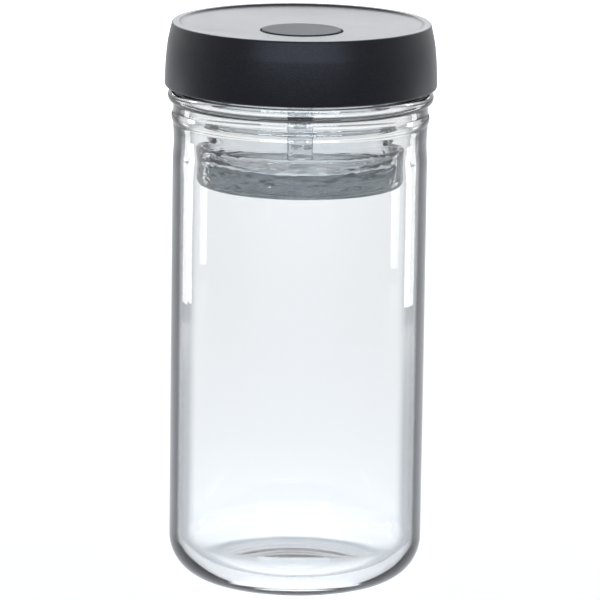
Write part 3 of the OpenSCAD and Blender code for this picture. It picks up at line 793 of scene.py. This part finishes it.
# Vent cap. A round moulded disc in the middle of the lid, with a finer grain than the shell. Under it
# are the hub that the stem is pressed into and six stiffening ribs.
cap_low, cap_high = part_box("vent_cap")
cap_r = cap_high[0]
cap_top = cap_high[2]
cap_under = cap_top - 2 * mm
hub_r = 7.2 * mm
hub_z = cap_low[2]
stem_bore_r = 1.52 * mm
stem_bore_top = cap_under + 0.52 * mm
cap_edge = 0.5 * mm
cap_side_z = cap_under + 1 * mm
cap_under_edge = 0.2 * mm
cap_columns = 160
cap_profile = np.concatenate([
    [[0, stem_bore_top]],
    straight((0, stem_bore_top), (stem_bore_r, stem_bore_top), 2),
    rounded([(stem_bore_r, stem_bore_top), (stem_bore_r, hub_z), (hub_r, hub_z), (hub_r, cap_under),
             (cap_r, cap_under), (cap_r, cap_side_z)], cap_under_edge)[:-corner_steps],
    arc((cap_r - cap_edge, cap_top - cap_edge), cap_edge, 0, 90, 10),
    straight((cap_r - cap_edge, cap_top), (0, cap_top), 10),
    [[0, cap_top]]])
cap = mesh_piece("vent_cap_disc", turned(cap_profile, cap_columns), closed_profile=False)
cap_plastic = satin_plastic("cap_plastic", (0.012, 0.013, 0.016, 1), (0.02, 0.021, 0.026, 1),
                            rough_low=0.58, rough_high=0.66, grain_size=3200, grain_depth=0.1, sheen=0.09)
cap.data.materials.append(cap_plastic)
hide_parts("vent_cap")
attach(cap, "vent")

rib_count = 6
rib_half = 0.6 * mm
rib_low = cap_under - 1.5 * mm
rib_in = hub_r - 0.2 * mm
rib_out = cap_r - 2 * mm
rib_top = cap_under + 0.2 * mm
rib_edge = 0.25 * mm
rib_section = rounded([(-rib_half, rib_low), (rib_half, rib_low), (rib_half, rib_top),
                       (-rib_half, rib_top)], rib_edge)


def ribs_round(section, first_r, last_r, count):
    """One straight bar per rib, turned by equal angles.

    The section's points (y, z) stand at the inner and the outer radius, and each end closes on the
    section's middle. A point (r, y) goes to (r cos a - y sin a, r sin a + y cos a).
    """
    a = 2 * np.pi * np.arange(count) / count
    side = section[:, 0][None, None, :]
    r = np.array([first_r, first_r, last_r, last_r])[None, :, None]
    keep = np.array([0, 1, 1, 0])[None, :, None]
    centre = section.mean(axis=0)
    y = centre[0] + keep * (side - centre[0])
    z = centre[1] + keep * (section[:, 1][None, None, :] - centre[1])
    cos = np.cos(a)[:, None, None]
    sin = np.sin(a)[:, None, None]
    return np.stack([r * cos - y * sin, r * sin + y * cos, z + 0 * cos + 0 * r], -1)


rib_grids = ribs_round(rib_section, rib_in, rib_out, rib_count)
for rib_number in range(rib_count):
    rib = mesh_piece("vent_cap_rib_%d" % (rib_number + 1), rib_grids[rib_number], closed_profile=False)
    rib.data.materials.append(cap_plastic)
    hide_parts("vent_cap")
    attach(rib, "vent")

# Lid shell. The outer cover, moulded in charcoal plastic with a satin grain: a swelling skirt that
# leans in above a soft bend, a narrow raised rim, and a dished plate with the hole for the cap.
shell_low, shell_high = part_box("lid_shell")
low_z = shell_low[2]
rim_z = shell_high[2]
shell_wall = 2.6 * mm
skirt_swell = 1.5 * mm
swell_z = low_z + 2 * mm
plate_z = cap_top - 0.5 * mm
under_z = weld_top
lid_r = liner_out + 0.1 * mm + shell_wall + skirt_swell
swell_h = under_z - swell_z
skirt_curve = (swell_h ** 2 + skirt_swell ** 2) / (2 * skirt_swell)
skirt_centre = np.array([lid_r - skirt_curve, swell_z])
lower_edge = 1 * mm
bend_drop = 9.5 * mm
bend_radius = 20 * mm
taper = 12
rim_edge = 0.9 * mm
rim_w = 2.8 * mm
rim_inner_edge = 0.6 * mm
recess_radius = 3 * mm
dish_rise = 3 * mm
hole_r = cap_r + 0.8 * mm
hole_edge = 0.3 * mm
shell_columns = 320


def skirt_r(z, inset):
    """Radius of the skirt at a height, on a circle about the skirt's centre that is smaller by inset."""
    return skirt_centre[0] + math.sqrt((skirt_curve - inset) ** 2 - (z - swell_z) ** 2)


def angle_from(centre, point):
    """Angle in degrees at which a point is seen from a centre."""
    return math.degrees(math.atan2(point[1] - centre[1], point[0] - centre[0]))


def away(angle):
    """The unit step (cos a, sin a) for an angle in degrees."""
    return np.array([math.cos(math.radians(angle)), math.sin(math.radians(angle))])


low_centre = (skirt_r(low_z + lower_edge, lower_edge), low_z + lower_edge)
low_angle = angle_from(skirt_centre, low_centre)
bend_angle = math.degrees(math.asin((rim_z - bend_drop - swell_z) / skirt_curve))
bend_centre = skirt_centre + (skirt_curve - bend_radius) * away(bend_angle)
lean = away(taper)
lean_reach = bend_centre @ lean + bend_radius
top_z = rim_z - rim_edge
top_centre = ((lean_reach - rim_edge - top_z * lean[1]) / lean[0], top_z)
inner_centre = np.array([(lean_reach - rim_z * lean[1]) / lean[0] - rim_w, rim_z - rim_inner_edge])
plate_up = (inner_centre[0] ** 2 - hole_r ** 2 + dish_rise ** 2) / (2 * dish_rise)
plate_curve = math.hypot(hole_r, plate_up)
plate_centre = np.array([0, plate_z + plate_up])
foot_reach = plate_curve - recess_radius
edge_reach = recess_radius + rim_inner_edge
between = np.linalg.norm(inner_centre - plate_centre)
swing = math.acos((foot_reach ** 2 + between ** 2 - edge_reach ** 2) / (2 * foot_reach * between))
foot_angle = angle_from(plate_centre, inner_centre) - math.degrees(swing)
foot_centre = plate_centre + foot_reach * away(foot_angle)
edge_angle = angle_from(foot_centre, inner_centre)
hole_angle = angle_from(plate_centre, (hole_r + hole_edge, plate_z))
inside = skirt_curve - shell_wall
inside_top = math.degrees(math.asin((under_z - swell_z) / inside))
inside_low = math.degrees(math.asin((low_z - swell_z) / inside))
shell_profile = np.concatenate([
    arc(low_centre, lower_edge, -90, low_angle, 10),
    arc(skirt_centre, skirt_curve, low_angle, bend_angle, 30)[1:],
    arc(bend_centre, bend_radius, bend_angle, taper, 8)[1:],
    arc(top_centre, rim_edge, taper, 90, 12),
    arc(inner_centre, rim_inner_edge, 90, edge_angle + 180, 10),
    arc(foot_centre, recess_radius, edge_angle, foot_angle, 12)[1:],
    arc(plate_centre, plate_curve, foot_angle, hole_angle, 24)[1:],
    arc((hole_r + hole_edge, plate_z - hole_edge), hole_edge, 90, 180, 6)[1:],
    arc((hole_r + hole_edge, under_z + hole_edge), hole_edge, 180, 270, 6),
    straight((hole_r + hole_edge, under_z), (skirt_r(under_z, shell_wall), under_z), 12),
    arc(skirt_centre, inside, inside_top, inside_low, 24)])
shell = mesh_piece("lid_shell_cover", turned(shell_profile, shell_columns), closed_profile=True)
lid_plastic = satin_plastic("lid_plastic", (0, 0, 0.0001, 1), (0.0048, 0.0036, 0.0068, 1),
                            rough_low=0.28, rough_high=0.38, grain_size=1800, grain_depth=0.55,
                            gloss=0.13, sheen=0.17)
shell.data.materials.append(lid_plastic)
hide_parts("lid_shell")
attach(shell, "lid")
